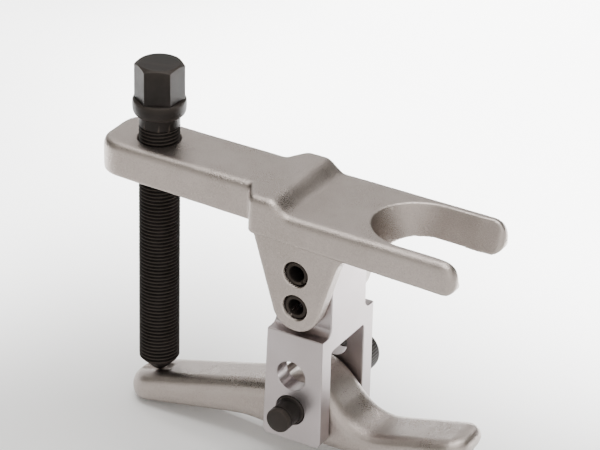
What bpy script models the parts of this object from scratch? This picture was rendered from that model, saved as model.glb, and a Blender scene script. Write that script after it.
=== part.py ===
"""Ball joint separator, in metres with +Z up.

A forked arm carries a forcing spindle at its rear end. A yoke is pinned between the arm's two lugs,
and a lever rocks on a pivot pin in the yoke: the spindle pushes the lever's rear end down, and the
lever's front finger rises towards the fork.

Heights in the constants are measured from the arm's flat top face, which is the datum plane. The
spindle's axis is X = Y = 0. The assembly hangs from one empty that moves the origin from the datum
to the centre of the spindle's hex top. The tool is symmetric about Y = 0, apart from its pivot pin.
"""

import math

import bmesh
import bpy
from mathutils import Matrix, Vector

MM = 0.001

# Gaps between pieces
FIT = 0.2 * MM  # radial gap of a pin or shaft in its hole
SEAT = 0.3 * MM  # gap between faces that touch

# Forked arm
ARM_REAR_X = -20.0 * MM
ARM_TIP_X = 139.5 * MM
ARM_HALF = 14.4 * MM
ARM_REAR_CORNER = 9.5 * MM
ARM_BOTTOM_REAR = -14.1 * MM  # underside at the spindle's axis
ARM_BOTTOM_SLOPE = -0.024  # the underside drops towards the fork
ARM_EDGE = 1.8 * MM
ARM_REAR_EDGE = 2.2 * MM
TINE_TOP_ROUND = 6.5 * MM
TINE_BOTTOM_ROUND = 4.5 * MM
FORK_HALF = 22.5 * MM
FORK_TOP = -4.7 * MM
FLARE_START_X = 48.5 * MM
FLARE_END_X = 55.0 * MM
STEP_START_X = 61.0 * MM
STEP_END_X = 70.0 * MM

# Fork slot: a tapered U, wider on top
SLOT_TOP_ROOT_X = 94.0 * MM
SLOT_TOP_HALF = 18.2 * MM
SLOT_TOP_CENTRE_X = 115.0 * MM
SLOT_BOTTOM_ROOT_X = 98.5 * MM
SLOT_BOTTOM_HALF = 15.2 * MM
SLOT_BOTTOM_CENTRE_X = 113.0 * MM
SLOT_FLARE_X = 129.0 * MM
SLOT_FLARE = 1.5 * MM  # gained on each side from there to the tips

# Yoke, its two spring pins and the two pivot holes, all on one vertical line
YOKE_X = 72.7 * MM
YOKE_LENGTH = 24.0 * MM
YOKE_HALF = 19.5 * MM
YOKE_BOTTOM = -101.2 * MM
YOKE_SHOULDER = -54.7 * MM
YOKE_SLOT_HALF = 12.3 * MM
YOKE_SLOT_TOP = -61.8 * MM
YOKE_CORNER = 2.7 * MM
YOKE_LEAN = 1.3 * MM  # the yoke's rear face reaches this much further back at its foot
YOKE_FILLET = 3.0 * MM
TONGUE_HALF = 13.0 * MM
TONGUE_TOP = -17.6 * MM
SPRING_PIN_RADIUS = 5.0 * MM
SPRING_PIN_BORE = 3.3 * MM
SPRING_PIN_GAP = 1.4 * MM
SPRING_PIN_HEIGHTS = {"upper_spring_pin": -28.5 * MM, "lower_spring_pin": -42.6 * MM}
YOKE_EDGE = 0.5 * MM
YOKE_SLOT_CORNER = 1.5 * MM
PIVOT_X = 71.5 * MM
PIVOT_HEIGHTS = {"upper": -72.9 * MM, "lower": -87.8 * MM}
PIVOT_CHAMFER = 0.2 * MM

# Lugs that hang from the arm on both sides of the yoke's tongue
LUG_OUTER = 20.2 * MM
LUG_RADIUS = 10.0 * MM
LUG_FLARE = 0.31  # half the V's width gained for each unit of height
LUG_ROOT = -14.2 * MM  # inside the arm
LUG_CHAMFER = 0.3 * MM

# Forcing spindle, M16 x 1.5, with a 17 mm hex
HEX_FLATS = 17.0 * MM
HEX_TOP = 31.5 * MM
HEX_TURN = math.radians(-3.6)
HEX_CHAMFER_RADIUS = 8.0 * MM
HEX_CHAMFER_DROP = 1.1 * MM
COLLAR_TOP = 16.9 * MM
COLLAR_RADIUS = 10.4 * MM
COLLAR_BOTTOM = 10.2 * MM
COLLAR_EDGE = 0.5 * MM
NECK_TOP = 9.4 * MM
THREAD_RADIUS = 8.0 * MM
THREAD_TOP = 7.8 * MM
THREAD_END = -95.6 * MM
NECK_RADIUS = 7.0 * MM
NOSE_RADIUS = 2.9 * MM
NOSE_EDGE = 0.3 * MM
BALL_RADIUS = 2.5 * MM
BALL_Z = -100.0 * MM
BALL_SOCKET = 2.7 * MM
NOSE_Z = -101.1 * MM
COUNTERSINK = 1.5 * MM

# Pivot pin, along Y: knob behind the yoke, tail in front of it
PIN_RADIUS = 5.9 * MM
PIN_KNOB_RADIUS = 8.7 * MM
PIN_KNOB_START = 20.0 * MM
PIN_KNOB_END = 36.0 * MM
PIN_KNOB_CROWN = 2.2 * MM
PIN_SHOULDER = -19.9 * MM
PIN_TAIL_RADIUS = 4.95 * MM
PIN_TAIL_END = -29.2 * MM
PIN_CHAMFER = 0.7 * MM
PIN_GROOVE_Y = -26.8 * MM
PIN_GROOVE_WIDTH = 0.9 * MM
PIN_GROOVE_DEPTH = 0.35 * MM
DETENT_Y = -22.1 * MM
DETENT_BALL_RADIUS = 2.0 * MM
DETENT_BALL_DROP = 4.5 * MM  # ball centre below the pin's axis
DETENT_POCKET_RADIUS = 2.15 * MM
DETENT_POCKET_LOW = -9.0 * MM  # past the pin's underside
DETENT_POCKET_TOP = 3.3 * MM  # above the pin's axis
DETENT_WIRE = 0.25 * MM  # radius of the detent spring's wire
DETENT_COIL = 1.35 * MM
DETENT_TURNS = 5

# Rocking lever
LEVER_REAR_RADIUS = 10.4 * MM
LEVER_HALF = 11.7 * MM
LEVER_TIP_X = 140.5 * MM
LEVER_TIP_CORNER = 8.5 * MM
LEVER_EDGE = 2.6 * MM
LEVER_WIDENS_X = (44.0 * MM, 58.0 * MM)
LEVER_TOP = [(-12.0, -104.9), (52.0, -86.9), (60.0, -83.2), (66.0, -78.6), (72.7, -76.8)]
LEVER_TOP += [(79.0, -79.6), (84.0, -84.0), (89.0, -89.4), (94.5, -93.1), (101.0, -94.4)]
LEVER_TOP += [(108.0, -93.2), (114.0, -91.6), (134.0, -86.6), (146.0, -84.6)]
LEVER_BOTTOM = [(146.0, -93.2), (134.0, -95.6), (118.0, -100.4), (104.0, -104.2), (90.0, -105.9)]
LEVER_BOTTOM += [(72.0, -105.6), (54.0, -105.0), (43.0, -105.5), (26.0, -108.7), (-14.0, -116.6)]
LEVER_STRAIGHT = (0, 11, 12)  # stretches of the top that stay straight
GROOVE_RADIUS = 4.8 * MM
GROOVE_FLOOR = -102.8 * MM  # at the spindle's axis
GROOVE_ENDS = (-5.0 * MM, 4.0 * MM)

ROUND = 48  # sides of a round piece
ARC = 6  # steps in a rounded corner


def clear_scene():
    for thing in list(bpy.data.objects):
        bpy.data.objects.remove(thing)


def metal(name, color, roughness, metallic=1.0):
    material = bpy.data.materials.new(name)
    material.use_nodes = True
    shader = material.node_tree.nodes["Principled BSDF"]
    shader.inputs["Base Color"].default_value = (*color, 1.0)
    shader.inputs["Roughness"].default_value = roughness
    shader.inputs["Metallic"].default_value = metallic
    return material


def piece(name, shape, material=None):
    """A mesh object from a bmesh, with outward normals."""
    bmesh.ops.remove_doubles(shape, verts=shape.verts, dist=1e-7)
    bmesh.ops.recalc_face_normals(shape, faces=shape.faces)
    mesh = bpy.data.meshes.new(name)
    shape.to_mesh(mesh)
    shape.free()
    mesh.shade_smooth()
    mesh.set_sharp_from_angle(angle=math.radians(35))
    made = bpy.data.objects.new(name, mesh)
    bpy.context.scene.collection.objects.link(made)
    if material:
        mesh.materials.append(material)
    return made


def loft(name, rings, material=None):
    """Skins closed rings of equal length, and caps the first and the last."""
    shape = bmesh.new()
    rows = [[shape.verts.new(point) for point in ring] for ring in rings]
    for low, high in zip(rows, rows[1:]):
        for i in range(len(low)):
            j = (i + 1) % len(low)
            shape.faces.new((low[i], low[j], high[j], high[i]))
    shape.faces.new(reversed(rows[0]))
    shape.faces.new(rows[-1])
    return piece(name, shape, material)


def prism(name, outline, low, high, normal, material=None):
    """An outline extruded along the X, Y or Z axis from low to high."""
    place = {
        "X": lambda u, v, w: (w, u, v),
        "Y": lambda u, v, w: (u, w, v),
        "Z": lambda u, v, w: (u, v, w),
    }[normal]
    return loft(name, [[place(u, v, w) for u, v in outline] for w in (low, high)], material)


def turned(name, profile, normal="Z", material=None, sides=ROUND):
    """A body of revolution about X = Y = 0, or about the Y axis, from (radius, height) points."""
    shape = bmesh.new()
    rows = []
    for radius, height in profile:
        count = sides if radius > 0 else 1
        row = []
        for i in range(count):
            angle = math.tau * i / sides
            point = Vector((radius * math.cos(angle), radius * math.sin(angle), height))
            row.append(shape.verts.new(point if normal == "Z" else (point.x, point.z, point.y)))
        rows.append(row)
    for low, high in zip(rows, rows[1:]):
        for i in range(sides):
            j = (i + 1) % sides
            corners = [low[i % len(low)], low[j % len(low)], high[j % len(high)], high[i % len(high)]]
            shape.faces.new(list(dict.fromkeys(corners)))
    for row in (rows[0], rows[-1]):
        if len(row) > 1:
            shape.faces.new(row)
    return piece(name, shape, material)


def rounded(corners, steps=ARC):
    """A polygon from (u, v, radius) corners, each replaced by an arc of that radius."""
    points = []
    for i, (u, v, radius) in enumerate(corners):
        here = Vector((u, v))
        before = Vector(corners[i - 1][:2])
        after = Vector(corners[(i + 1) % len(corners)][:2])
        if radius == 0:
            points.append(tuple(here))
            continue
        back, ahead = (before - here).normalized(), (after - here).normalized()
        half = math.acos(max(-1.0, min(1.0, back.dot(ahead)))) / 2
        centre = here + (back + ahead).normalized() * radius / math.sin(half)
        start = here + back * radius / math.tan(half) - centre
        sweep = math.pi - 2 * half
        sweep = math.copysign(sweep, back.x * ahead.y - back.y * ahead.x) * -1
        for step in range(steps + 1):
            turn = Matrix.Rotation(sweep * step / steps, 2)
            points.append(tuple(centre + turn @ start))
    return points


def flowing(points, straight=(), steps=3):
    """A Catmull-Rom curve through points, straight where asked."""
    places = [Vector(point) for point in points]
    curve = [tuple(places[0])]
    for i in range(len(places) - 1):
        a, b = places[i], places[i + 1]
        if i in straight:
            curve.append(tuple(b))
            continue
        before = places[i - 1] if i > 0 else a
        after = places[i + 2] if i + 2 < len(places) else b
        for step in range(1, steps + 1):
            t = step / steps
            tangent_a, tangent_b = (b - before) / 2, (after - a) / 2
            point = a * (2 * t**3 - 3 * t**2 + 1) + b * (3 * t**2 - 2 * t**3)
            point += tangent_a * (t**3 - 2 * t**2 + t) + tangent_b * (t**3 - t**2)
            curve.append(tuple(point))
    return curve


def combine(target, other, operation):
    """Adds a Boolean to target, and keeps the other mesh only as its operand."""
    modifier = target.modifiers.new(other.name, "BOOLEAN")
    modifier.operation = operation
    modifier.object = other
    modifier.solver = "EXACT"
    other.hide_render = True
    other.display_type = "WIRE"
    return modifier


def soften(target, width, segments, angle=40):
    modifier = target.modifiers.new("edges", "BEVEL")
    modifier.width = width
    modifier.segments = segments
    modifier.limit_method = "ANGLE"
    modifier.angle_limit = math.radians(angle)
    modifier.use_clamp_overlap = False
    return modifier


def cross_drill(name, radius, x, height, reach, chamfer=0.0, face=0.0):
    """A drill along Y at (x, height), which opens by the chamfer at the faces Y = +-face."""
    profile = [(radius, -reach), (radius, reach)]
    if chamfer:
        wide = radius + chamfer + (reach - face)
        profile = [(wide, -reach), (radius, -face + chamfer)]
        profile += [(radius, face - chamfer), (wide, reach)]
    drill = turned(name, profile, "Y")
    drill.location = (x, 0, height)
    return drill


def underside(x):
    return ARM_BOTTOM_REAR + ARM_BOTTOM_SLOPE * x


def slot_outline(root_x, centre_x, half):
    """Half an ellipse round the root, nearly straight sides and a flared mouth."""
    past_tip = ARM_TIP_X + 8 * MM
    flare = SLOT_FLARE / (ARM_TIP_X - SLOT_FLARE_X)
    side = [(SLOT_FLARE_X, half), (past_tip, half + flare * (past_tip - SLOT_FLARE_X))]
    steps = 16
    root = []
    for step in range(steps + 1):
        angle = math.pi / 2 + math.pi * step / steps
        root.append((centre_x + (centre_x - root_x) * math.cos(angle), half * math.sin(angle)))
    return root + [(x, -y) for x, y in side] + list(reversed(side))


def arm_top(x):
    """The arm's top face: the datum plane at the rear, then a smooth step down to the fork."""
    t = min(1.0, max(0.0, (x - STEP_START_X) / (STEP_END_X - STEP_START_X)))
    return FORK_TOP * (1 - math.cos(math.pi * t)) / 2


def between(x, line):
    """The height of a polyline of (x, y) points at x."""
    for (x0, y0), (x1, y1) in zip(line, line[1:]):
        if x <= x1:
            return y0 + (y1 - y0) * max(0.0, x - x0) / (x1 - x0)
    return line[-1][1]


def arm_stations():
    """(x, half-width) along the arm, with one side's outline, the step and both rounded ends."""
    corners = [
        (ARM_REAR_X, 0, 0),
        (ARM_REAR_X, ARM_HALF, ARM_REAR_CORNER),
        (FLARE_START_X, ARM_HALF, 3 * MM),
        (FLARE_END_X, FORK_HALF, 3.5 * MM),
        (ARM_TIP_X, FORK_HALF, 3.5 * MM),
        (ARM_TIP_X, 0, 0),
    ]
    side = rounded(corners)[1:-1]
    steps = 8
    places = [x for x, _ in side]
    places += [STEP_START_X + (STEP_END_X - STEP_START_X) * i / steps for i in range(steps + 1)]
    for depth in (0.04, 0.15, 0.4, 0.7, 1.0):
        places += [ARM_REAR_X + ARM_REAR_EDGE * depth, ARM_TIP_X - TINE_TOP_ROUND * depth]
    kept = []
    for x in sorted(places):
        if not kept or x - kept[-1] > 0.05 * MM:
            kept.append(x)
    return [(x, between(x, side)) for x in kept]


def round_over(depth, radius):
    """How far a rounded edge lies below its face, at this depth in from the end."""
    left = max(0.0, radius - depth)
    return radius - math.sqrt(radius**2 - left**2)


def arm_section(x, half):
    """The arm's cross-section at x: a rectangle with rounded corners, lower near both ends."""
    rear = round_over(x - ARM_REAR_X, ARM_REAR_EDGE)
    tip = max(0.0, ARM_TIP_X - x)
    high = arm_top(x) - rear - round_over(tip, TINE_TOP_ROUND)
    low = underside(x) + rear + round_over(tip, TINE_BOTTOM_ROUND)
    edge = min(ARM_EDGE, 0.45 * (high - low))
    corners = [(half, low, edge), (half, high, edge), (-half, high, edge), (-half, low, edge)]
    return [(x, y, z) for y, z in rounded(corners, 3)]


def make_fork_arm(material):
    arm = loft("fork_arm", [arm_section(x, half) for x, half in arm_stations()], material)

    top = slot_outline(SLOT_TOP_ROOT_X, SLOT_TOP_CENTRE_X, SLOT_TOP_HALF)
    bottom = slot_outline(SLOT_BOTTOM_ROOT_X, SLOT_BOTTOM_CENTRE_X, SLOT_BOTTOM_HALF)
    low, high = underside(ARM_TIP_X), FORK_TOP
    rings = [[(x, y, low) for x, y in bottom], [(x, y, high) for x, y in top]]
    over = 0.4  # the taper runs on past both faces by this share of the fork's thickness
    below = [Vector(b) + (Vector(b) - Vector(t)) * over for b, t in zip(*rings)]
    above = [Vector(t) + (Vector(t) - Vector(b)) * over for b, t in zip(*rings)]
    combine(arm, loft("fork_slot", [below, above]), "DIFFERENCE")

    spring_low = SPRING_PIN_HEIGHTS["lower_spring_pin"]
    for sign, label in ((-1, "front_lug"), (1, "rear_lug")):
        faces = sorted((sign * (TONGUE_HALF + SEAT), sign * LUG_OUTER))
        combine(arm, prism(label, lug_outline(spring_low), *faces, "Y"), "UNION")
    for label, height in SPRING_PIN_HEIGHTS.items():
        radius = SPRING_PIN_RADIUS + FIT
        drill = cross_drill(label + "_drill", radius, YOKE_X, height, 24 * MM, LUG_CHAMFER, LUG_OUTER)
        combine(arm, drill, "DIFFERENCE")
    hole = THREAD_RADIUS + FIT
    flare = hole + COUNTERSINK
    profile = [(flare, underside(0) - COUNTERSINK), (hole, underside(0) + COUNTERSINK / 2)]
    profile += [(hole, -COUNTERSINK), (flare + COUNTERSINK, COUNTERSINK)]
    combine(arm, turned("spindle_drill", profile), "DIFFERENCE")
    return arm


def lug_outline(centre_z):
    """A V with a round end: its sides are tangent to the circle about the lower spring pin."""
    lean = math.atan(LUG_FLARE)
    steps = 12
    arc = []
    for step in range(steps + 1):
        angle = math.pi + lean + (math.pi - 2 * lean) * step / steps
        arc.append((YOKE_X + LUG_RADIUS * math.cos(angle), centre_z + LUG_RADIUS * math.sin(angle)))
    (left, low), (right, _) = arc[0], arc[-1]
    rise = LUG_ROOT - low
    return [(left - rise * LUG_FLARE, LUG_ROOT), *arc, (right + rise * LUG_FLARE, LUG_ROOT)]


def make_yoke(material):
    section = [
        (TONGUE_HALF, TONGUE_TOP, 0),
        (TONGUE_HALF, YOKE_SHOULDER, YOKE_FILLET),
        (YOKE_HALF, YOKE_SHOULDER, 0),
        (YOKE_HALF, YOKE_BOTTOM, 0),
        (YOKE_SLOT_HALF, YOKE_BOTTOM, 0),
        (YOKE_SLOT_HALF, YOKE_SLOT_TOP, YOKE_SLOT_CORNER),
    ]
    outline = rounded(section + [(-y, z, r) for y, z, r in reversed(section)], 4)
    rear, front = YOKE_X - YOKE_LENGTH / 2, YOKE_X + YOKE_LENGTH / 2
    yoke = prism("yoke", outline, rear - YOKE_LEAN, front, "X", material)
    face = [
        (rear, TONGUE_TOP + MM, 0),
        (rear, YOKE_SHOULDER, 0),
        (rear - YOKE_LEAN, YOKE_BOTTOM, YOKE_CORNER),
        (front, YOKE_BOTTOM, YOKE_CORNER),
        (front, YOKE_SHOULDER, 0),
        (front + MM, YOKE_SHOULDER, 0),
        (front + MM, TONGUE_TOP + MM, 0),
    ]
    combine(yoke, prism("yoke_face", rounded(face), -30 * MM, 30 * MM, "Y"), "INTERSECT")
    soften(yoke, YOKE_EDGE, 1, 60)
    for label, height in SPRING_PIN_HEIGHTS.items():
        radius = SPRING_PIN_RADIUS + FIT
        combine(yoke, cross_drill("yoke_" + label, radius, YOKE_X, height, 30 * MM), "DIFFERENCE")
    radius = PIN_RADIUS + FIT
    for label, height in PIVOT_HEIGHTS.items():
        name = label + "_pivot_drill"
        drill = cross_drill(name, radius, PIVOT_X, height, 24 * MM, PIVOT_CHAMFER, YOKE_HALF)
        combine(yoke, drill, "DIFFERENCE")
    return yoke


def make_spring_pin(name, height, gap_angle, material):
    """A slotted tube, along Y."""
    half_gap = SPRING_PIN_GAP / 2
    outer, inner = [], []
    steps = 30
    for radius, arc in ((SPRING_PIN_RADIUS, outer), (SPRING_PIN_BORE, inner)):
        open_half = math.asin(half_gap / radius)
        for step in range(steps + 1):
            angle = gap_angle + open_half + (math.tau - 2 * open_half) * step / steps
            arc.append((radius * math.cos(angle), radius * math.sin(angle)))
    length = LUG_OUTER - 0.3 * MM
    pin = prism(name, outer + inner[::-1], -length, length, "Y", material)
    pin.location = (YOKE_X, 0, height)
    return pin


def make_spindle(material):
    profile = [
        (NOSE_RADIUS, NOSE_Z),
        (NOSE_RADIUS + NOSE_EDGE, NOSE_Z + 2 * NOSE_EDGE),
        (THREAD_RADIUS, THREAD_END),
        (THREAD_RADIUS, THREAD_TOP),
        (NECK_RADIUS, THREAD_TOP + THREAD_RADIUS - NECK_RADIUS),
        (NECK_RADIUS, NECK_TOP),
        (THREAD_RADIUS + COLLAR_EDGE, COLLAR_BOTTOM),
        (COLLAR_RADIUS - COLLAR_EDGE, COLLAR_BOTTOM + 4 * COLLAR_EDGE),
        (COLLAR_RADIUS, COLLAR_BOTTOM + 6 * COLLAR_EDGE),
        (COLLAR_RADIUS, COLLAR_TOP - COLLAR_EDGE),
        (COLLAR_RADIUS - COLLAR_EDGE, COLLAR_TOP),
    ]
    spindle = turned("forcing_spindle", profile, material=material)
    corner = HEX_FLATS / math.sqrt(3)
    turns = [HEX_TURN + math.pi / 6 + math.pi / 3 * i for i in range(6)]
    outline = [(corner * math.cos(turn), corner * math.sin(turn)) for turn in turns]
    combine(spindle, prism("drive_hex", outline, COLLAR_TOP - 3 * MM, HEX_TOP, "Z"), "UNION")
    slope = (corner - HEX_CHAMFER_RADIUS) / HEX_CHAMFER_DROP
    far = 3 * MM  # the chamfer's cone reaches this far past the hex's corners
    wide = corner + far * slope
    foot = NOSE_Z - far
    cone = [(wide, foot), (wide, HEX_TOP - HEX_CHAMFER_DROP - far), (HEX_CHAMFER_RADIUS, HEX_TOP)]
    combine(spindle, turned("hex_chamfer", cone), "INTERSECT")
    socket = turned("ball_socket", sphere_profile(BALL_SOCKET, 10))
    socket.location = (0, 0, BALL_Z)
    combine(spindle, socket, "DIFFERENCE")
    return spindle


def sphere_profile(radius, steps):
    angles = [math.pi * (step / steps - 0.5) for step in range(steps + 1)]
    profile = [(radius * math.cos(angle), radius * math.sin(angle)) for angle in angles]
    return [(0, -radius), *profile[1:-1], (0, radius)]


def ball(name, radius, place, material, sides=24):
    made = turned(name, sphere_profile(radius, sides // 2), material=material, sides=sides)
    made.location = place
    return made


def make_pivot_pin(height, material):
    groove = PIN_TAIL_RADIUS - PIN_GROOVE_DEPTH
    profile = [
        (PIN_TAIL_RADIUS - PIN_CHAMFER, PIN_TAIL_END),
        (PIN_TAIL_RADIUS, PIN_TAIL_END + PIN_CHAMFER),
        (PIN_TAIL_RADIUS, PIN_GROOVE_Y - PIN_GROOVE_WIDTH / 2),
        (groove, PIN_GROOVE_Y - PIN_GROOVE_WIDTH / 4),
        (groove, PIN_GROOVE_Y + PIN_GROOVE_WIDTH / 4),
        (PIN_TAIL_RADIUS, PIN_GROOVE_Y + PIN_GROOVE_WIDTH / 2),
        (PIN_TAIL_RADIUS, PIN_SHOULDER),
        (PIN_RADIUS - 0.3 * MM, PIN_SHOULDER),
        (PIN_RADIUS, PIN_SHOULDER + 0.3 * MM),
        (PIN_RADIUS, PIN_KNOB_START),
        (PIN_KNOB_RADIUS - 0.6 * MM, PIN_KNOB_START),
        (PIN_KNOB_RADIUS, PIN_KNOB_START + 0.6 * MM),
    ]
    crown, steps = PIN_KNOB_CROWN, 5
    for step in range(steps + 1):
        angle = math.pi / 2 * step / steps
        radius = PIN_KNOB_RADIUS - crown + crown * math.cos(angle)
        profile.append((radius, PIN_KNOB_END - crown + crown * math.sin(angle)))
    pin = turned("pivot_pin", profile, "Y", material)
    pin.location = (PIVOT_X, 0, height)
    ends = (DETENT_POCKET_LOW, DETENT_POCKET_TOP)
    pocket = turned("detent_pocket", [(DETENT_POCKET_RADIUS, z) for z in ends])
    pocket.location = (PIVOT_X, DETENT_Y, height)
    combine(pin, pocket, "DIFFERENCE")
    return pin


def make_detent_spring(height, material):
    """A coil from the detent ball up to the top of its pocket."""
    low = height - DETENT_BALL_DROP + DETENT_BALL_RADIUS + FIT + DETENT_WIRE
    high = height + DETENT_POCKET_TOP - FIT - DETENT_WIRE
    per_turn = 12
    count = DETENT_TURNS * per_turn
    wire = bpy.data.curves.new("detent_spring", "CURVE")
    wire.dimensions = "3D"
    wire.bevel_depth = DETENT_WIRE
    wire.bevel_resolution = 1
    wire.use_fill_caps = True
    line = wire.splines.new("POLY")
    line.points.add(count)
    for i, point in enumerate(line.points):
        angle = math.tau * i / per_turn
        rise = low + (high - low) * i / count
        x, y = DETENT_COIL * math.cos(angle), DETENT_COIL * math.sin(angle)
        point.co = (PIVOT_X + x, DETENT_Y + y, rise, 1)
    wire.materials.append(material)
    spring = bpy.data.objects.new("detent_spring", wire)
    bpy.context.scene.collection.objects.link(spring)
    return spring


def make_lever(height, material):
    top = flowing([(x * MM, z * MM) for x, z in LEVER_TOP], LEVER_STRAIGHT)
    bottom = flowing([(x * MM, z * MM) for x, z in LEVER_BOTTOM])
    start, end = LEVER_WIDENS_X
    rear, steps = [], 8
    for step in range(steps + 1):
        angle = math.pi / 2 + math.pi * step / steps
        rear.append((LEVER_REAR_RADIUS * math.cos(angle), LEVER_REAR_RADIUS * math.sin(angle), 0))
    front = [(LEVER_TIP_X, -LEVER_HALF, LEVER_TIP_CORNER), (LEVER_TIP_X, LEVER_HALF, LEVER_TIP_CORNER)]
    plan = rear + [(start, -LEVER_REAR_RADIUS, 0), (end, -LEVER_HALF, 0), *front]
    plan += [(end, LEVER_HALF, 0), (start, LEVER_REAR_RADIUS, 0)]
    lever = prism("lever", rounded(plan, 8), -130 * MM, -60 * MM, "Z", material)
    combine(lever, prism("lever_profile", top + bottom, -20 * MM, 20 * MM, "Y"), "INTERSECT")
    soften(lever, LEVER_EDGE, 2, 50)
    bore = cross_drill("lever_bore", PIN_RADIUS + FIT, PIVOT_X, height, 20 * MM)
    combine(lever, bore, "DIFFERENCE")
    combine(lever, make_groove(), "DIFFERENCE")
    return lever


def make_groove():
    """A round-ended trough along the lever's rear arm, in which the spindle's ball runs."""
    (x0, z0), (x1, z1) = LEVER_TOP[0], LEVER_TOP[1]
    slope = (z1 - z0) / (x1 - x0)
    rings = []
    steps = 6
    for end, turn in ((GROOVE_ENDS[0], -1), (GROOVE_ENDS[1], 1)):
        for step in range(1, steps + 1) if turn < 0 else range(steps, 0, -1):
            angle = math.pi / 2 * step / steps
            out, radius = GROOVE_RADIUS * math.cos(angle), GROOVE_RADIUS * math.sin(angle)
            rings.append((end + turn * out, radius))
    ends = [(rings[0][0] - 0.4 * MM, 0.2 * MM), *rings, (rings[-1][0] + 0.4 * MM, 0.2 * MM)]
    sides = 24
    centre = GROOVE_FLOOR + GROOVE_RADIUS * math.hypot(1, slope)
    loops = []
    for x, radius in ends:
        angles = [math.tau * i / sides for i in range(sides)]
        middle = centre + slope * x
        loops.append([(x, radius * math.cos(a), middle + radius * math.sin(a)) for a in angles])
    return loft("lever_groove", loops)


def joint_axis(name, place, assembly):
    axis = bpy.data.objects.new(name, None)
    bpy.context.scene.collection.objects.link(axis)
    axis.parent = assembly
    axis.location = place
    return axis


def hang(things, axis):
    """Parents pieces to an empty, and keeps them where they are in the assembly."""
    for thing in things:
        thing.parent = axis
        thing.location = thing.location - axis.location


def main():
    clear_scene()
    forged = metal("forged_steel", (0.42, 0.40, 0.38), 0.42)
    machined = metal("machined_steel", (0.52, 0.49, 0.50), 0.34)
    black = metal("black_oxide", (0.025, 0.023, 0.022), 0.38)
    bright = metal("bearing_steel", (0.70, 0.69, 0.67), 0.18)

    pivot = PIVOT_HEIGHTS["lower"]
    fixed = [make_fork_arm(forged), make_yoke(machined)]
    for (name, height), turn in zip(SPRING_PIN_HEIGHTS.items(), (-0.9, -2.2)):
        fixed.append(make_spring_pin(name, height, turn, black))
    spindle = [make_spindle(black), ball("thrust_ball", BALL_RADIUS, (0, 0, BALL_Z), bright)]
    detent = (PIVOT_X, DETENT_Y, pivot - DETENT_BALL_DROP)
    pin = [
        make_pivot_pin(pivot, black),
        make_detent_spring(pivot, bright),
        ball("detent_ball", DETENT_BALL_RADIUS, detent, bright),
    ]
    lever = [make_lever(pivot, forged)]

    assembly = bpy.data.objects.new("assembly", None)
    bpy.context.scene.collection.objects.link(assembly)
    assembly.location = (0, 0, -HEX_TOP)
    hang(fixed, joint_axis("datum", (0, 0, 0), assembly))
    hang(spindle, joint_axis("spindle_axis", (0, 0, BALL_Z), assembly))
    hang(lever + pin, joint_axis("pivot_axis", (PIVOT_X, 0, pivot), assembly))
    for thing in bpy.data.objects:
        if thing.hide_render:
            thing.parent = assembly


main()
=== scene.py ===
"""Looks of a ball joint separator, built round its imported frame.

The forged arm and lever are modelled oversharp, remeshed and smoothed, so that their edges run soft,
and then drilled. The yoke, the pins and the spindle are machined, so they keep crisp chamfers.

Lengths are in metres. The tool's length runs along X and its pins along Y, and the spindle's axis is
X = Y = 0. Heights in the constants are measured from the arm's flat top face, the datum plane, and
every piece is moved to the frame's own datum at the end.
"""

import math

import bmesh
import bpy
from mathutils import Matrix, Vector, noise


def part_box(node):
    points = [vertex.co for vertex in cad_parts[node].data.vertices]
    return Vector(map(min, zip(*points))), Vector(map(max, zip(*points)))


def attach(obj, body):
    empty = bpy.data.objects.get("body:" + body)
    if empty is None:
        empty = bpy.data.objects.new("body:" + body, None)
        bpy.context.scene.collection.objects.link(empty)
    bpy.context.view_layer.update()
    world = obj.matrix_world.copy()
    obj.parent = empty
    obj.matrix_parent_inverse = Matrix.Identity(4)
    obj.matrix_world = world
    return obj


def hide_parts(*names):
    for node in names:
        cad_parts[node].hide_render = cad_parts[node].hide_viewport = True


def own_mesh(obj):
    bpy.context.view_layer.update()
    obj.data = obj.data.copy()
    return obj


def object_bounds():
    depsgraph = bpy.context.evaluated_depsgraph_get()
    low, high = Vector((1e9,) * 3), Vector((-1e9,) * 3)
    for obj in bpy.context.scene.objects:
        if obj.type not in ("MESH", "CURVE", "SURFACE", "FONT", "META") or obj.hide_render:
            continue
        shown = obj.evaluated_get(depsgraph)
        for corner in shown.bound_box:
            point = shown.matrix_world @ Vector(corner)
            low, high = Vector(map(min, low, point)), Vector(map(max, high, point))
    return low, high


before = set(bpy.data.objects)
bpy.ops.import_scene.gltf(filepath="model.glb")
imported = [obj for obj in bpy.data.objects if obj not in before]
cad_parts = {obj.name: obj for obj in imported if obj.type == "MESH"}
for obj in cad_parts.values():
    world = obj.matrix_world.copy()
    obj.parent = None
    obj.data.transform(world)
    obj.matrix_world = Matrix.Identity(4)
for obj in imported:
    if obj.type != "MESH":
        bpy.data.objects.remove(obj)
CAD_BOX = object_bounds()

MM = 0.001
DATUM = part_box("fork_arm")[1].z

# Forged arm. Its rear end is rounded in plan, and it flares, steps down and ends in the fork
ARM_REAR_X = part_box("fork_arm")[0].x - 1.3 * MM
ARM_TIP_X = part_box("fork_arm")[1].x
FORK_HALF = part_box("fork_arm")[1].y
ARM_HALF = 14.4 * MM
ARM_REAR_ROUND = 12.0 * MM
ARM_BOTTOM_REAR = -14.1 * MM
ARM_BOTTOM_SLOPE = -0.024
ARM_EDGE = 3.2 * MM
ARM_BOTTOM_EDGE = 1.1 * MM
ARM_REAR_EDGE = 4.4 * MM
TINE_TOP_ROUND = 6.5 * MM
TINE_BOTTOM_ROUND = 5.0 * MM
FORK_TOP = -4.7 * MM
FLARE_X = (48.7 * MM, 53.4 * MM)
STEP_X = (61.0 * MM, 70.0 * MM)
ARM_VOXEL = 0.45 * MM
ARM_PASSES = 7

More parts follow.
